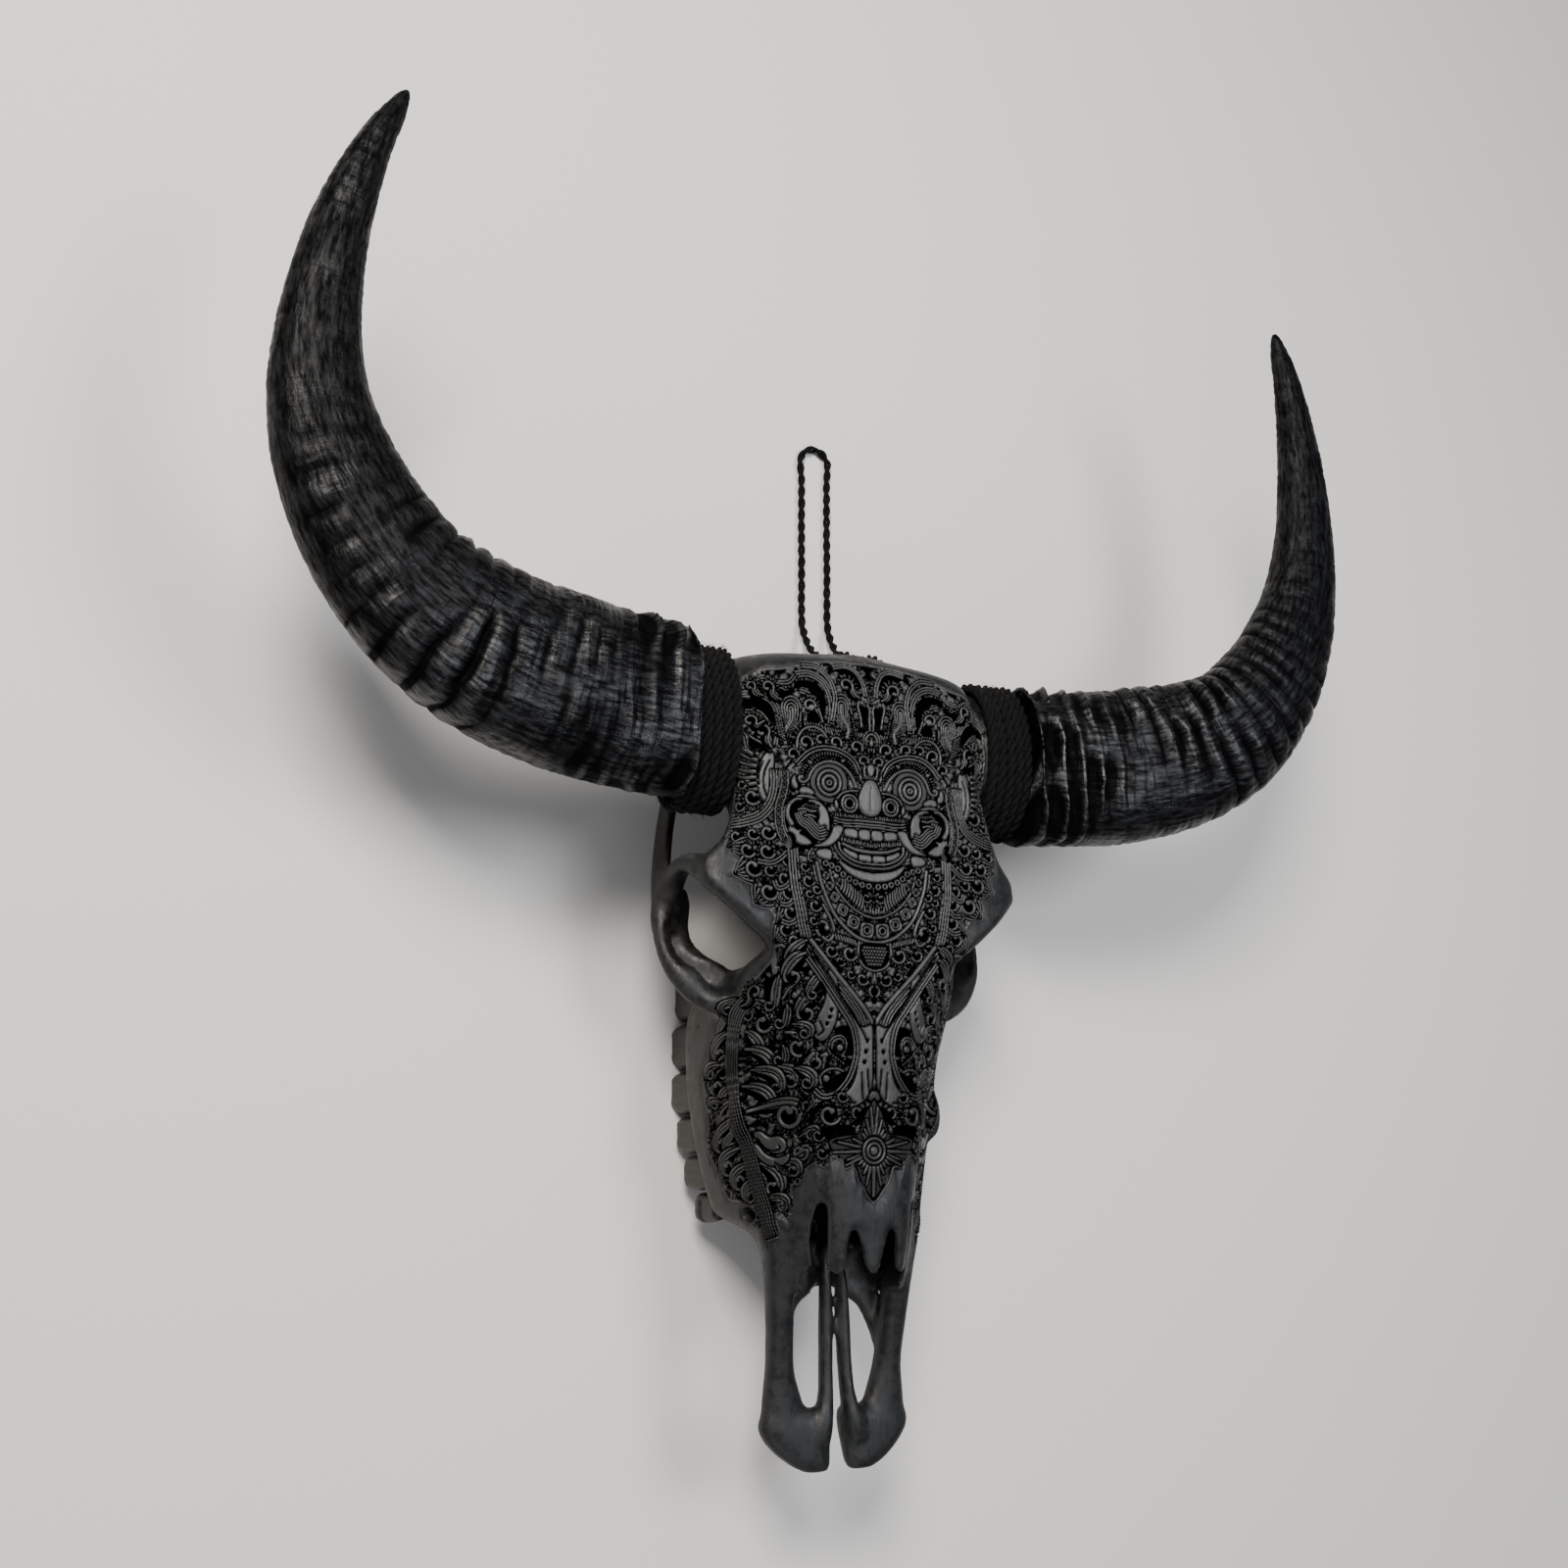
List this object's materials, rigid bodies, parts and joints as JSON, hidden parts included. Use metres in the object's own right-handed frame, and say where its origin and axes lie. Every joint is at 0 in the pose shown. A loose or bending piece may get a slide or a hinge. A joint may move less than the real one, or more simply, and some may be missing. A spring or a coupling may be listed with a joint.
{
  "type": "carved buffalo skull",
  "caption": "Carved buffalo skull without its lower jaw, with long curved ridged horns, rope bindings and a hanging cord; lies face up.",
  "frame": {"origin": "middle of the bounding box of skull and horns, on the plane that the cheek teeth and the processes behind the ears rest on", "axes": "+Z out of the face, +Y from the muzzle towards the poll and the horn tips, +X across the skull to the right as the face is looked at"},
  "size_m": [0.8044, 0.8136, 0.1961],
  "materials": {
    "stained_bone": "satin",
    "lacquered_horn": "gloss",
    "stained_tooth": "satin",
    "dyed_jute": "matte"
  },
  "bodies": {
    "root": {"skull": "stained_bone", "premolar_1_left": "stained_tooth", "premolar_2_left": "stained_tooth", "premolar_3_left": "stained_tooth", "molar_1_left": "stained_tooth", "molar_2_left": "stained_tooth", "molar_3_left": "stained_tooth", "premolar_1_right": "stained_tooth", "premolar_2_right": "stained_tooth", "premolar_3_right": "stained_tooth", "molar_1_right": "stained_tooth", "molar_2_right": "stained_tooth", "molar_3_right": "stained_tooth", "horn_left": "lacquered_horn", "horn_right": "lacquered_horn", "binding_left": "dyed_jute", "binding_right": "dyed_jute", "hanging_cord": "dyed_jute"}
  },
  "joints": []
}
